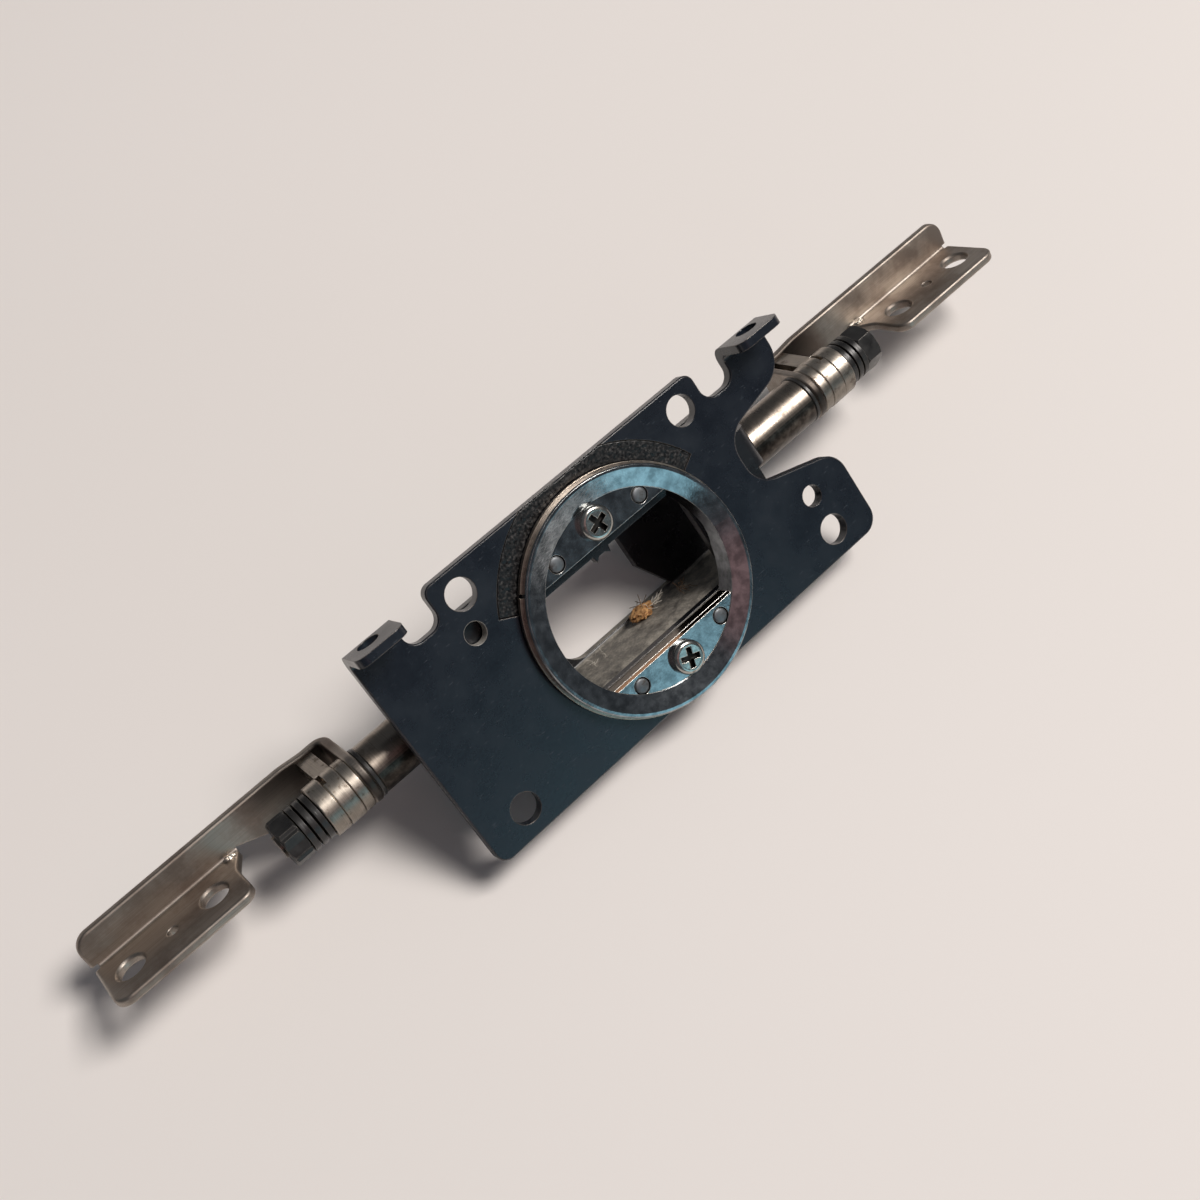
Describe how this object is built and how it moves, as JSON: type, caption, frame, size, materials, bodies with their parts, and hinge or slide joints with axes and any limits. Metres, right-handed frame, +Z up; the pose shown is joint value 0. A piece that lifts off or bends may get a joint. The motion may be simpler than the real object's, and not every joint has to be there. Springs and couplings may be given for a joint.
{
  "type": "laptop hinge pair",
  "caption": "Convertible-laptop hinge: stamped plate with a hollow swivel ring, and under it a yoke carrying coaxial friction hinges with folded steel arms.",
  "frame": {"origin": "on the swivel axis, at the plate's upper face", "axes": "+X along the tilt shafts towards the plate's cut-out side, +Y towards the tabbed edge, +Z up along the swivel axis to the ring side"},
  "size_m": [0.1474, 0.0319, 0.0232],
  "materials": {
    "plate_black": "black electrocoat over stamped steel, satin, scratched through at the edges",
    "ring_black": "black oxide over turned steel, semi-gloss",
    "spring_steel": "bright spring steel",
    "washer_dark": "dark phosphated steel, greased",
    "screw_nickel": "nickel plate",
    "pin_steel": "bare steel, dulled",
    "yoke_black": "black electrocoat, satin",
    "guide_black": "black electrocoat, dusty",
    "shaft_steel": "polished bare steel",
    "arm_steel": "bare rolled steel, brushed",
    "disc_steel": "hardened bare steel, oiled",
    "oxide_black": "black oxide, oiled"
  },
  "bodies": {
    "base": {"mounting_plate": "plate_black"},
    "rotor": {"swivel_ring": "ring_black", "spring_washer": "spring_steel", "thrust_washer_upper": "washer_dark", "thrust_washer_lower": "washer_dark", "hub_screws": "screw_nickel", "hub_pins": "pin_steel", "yoke": "yoke_black", "cable_guide": "guide_black", "shaft_left": "shaft_steel", "washer_left": "oxide_black", "friction_disc_left": "disc_steel", "cam_disc_left": "disc_steel", "springs_left": "oxide_black", "nut_left": "oxide_black", "shaft_right": "shaft_steel", "washer_right": "oxide_black", "friction_disc_right": "disc_steel", "cam_disc_right": "disc_steel", "springs_right": "oxide_black", "nut_right": "oxide_black"},
    "lean_left": {"arm_left": "arm_steel", "key_disc_left": "disc_steel"},
    "lean_right": {"arm_right": "arm_steel", "key_disc_right": "disc_steel"}
  },
  "joints": [
    {"name": "swivel", "type": "hinge", "parent": "base", "child": "rotor", "pos_m": [0, 0, 0], "axis": [0, 0, 1], "range_deg": [0, 180]},
    {"name": "tilt_left", "type": "hinge", "parent": "rotor", "child": "lean_left", "pos_m": [-0.038, 0.00178, -0.00884], "axis": [1, 0, 0], "range_deg": [-90, 75]},
    {"name": "tilt_right", "type": "hinge", "parent": "rotor", "child": "lean_right", "pos_m": [0.038, 0.00178, -0.00884], "axis": [1, 0, 0], "range_deg": [-90, 75]}
  ]
}
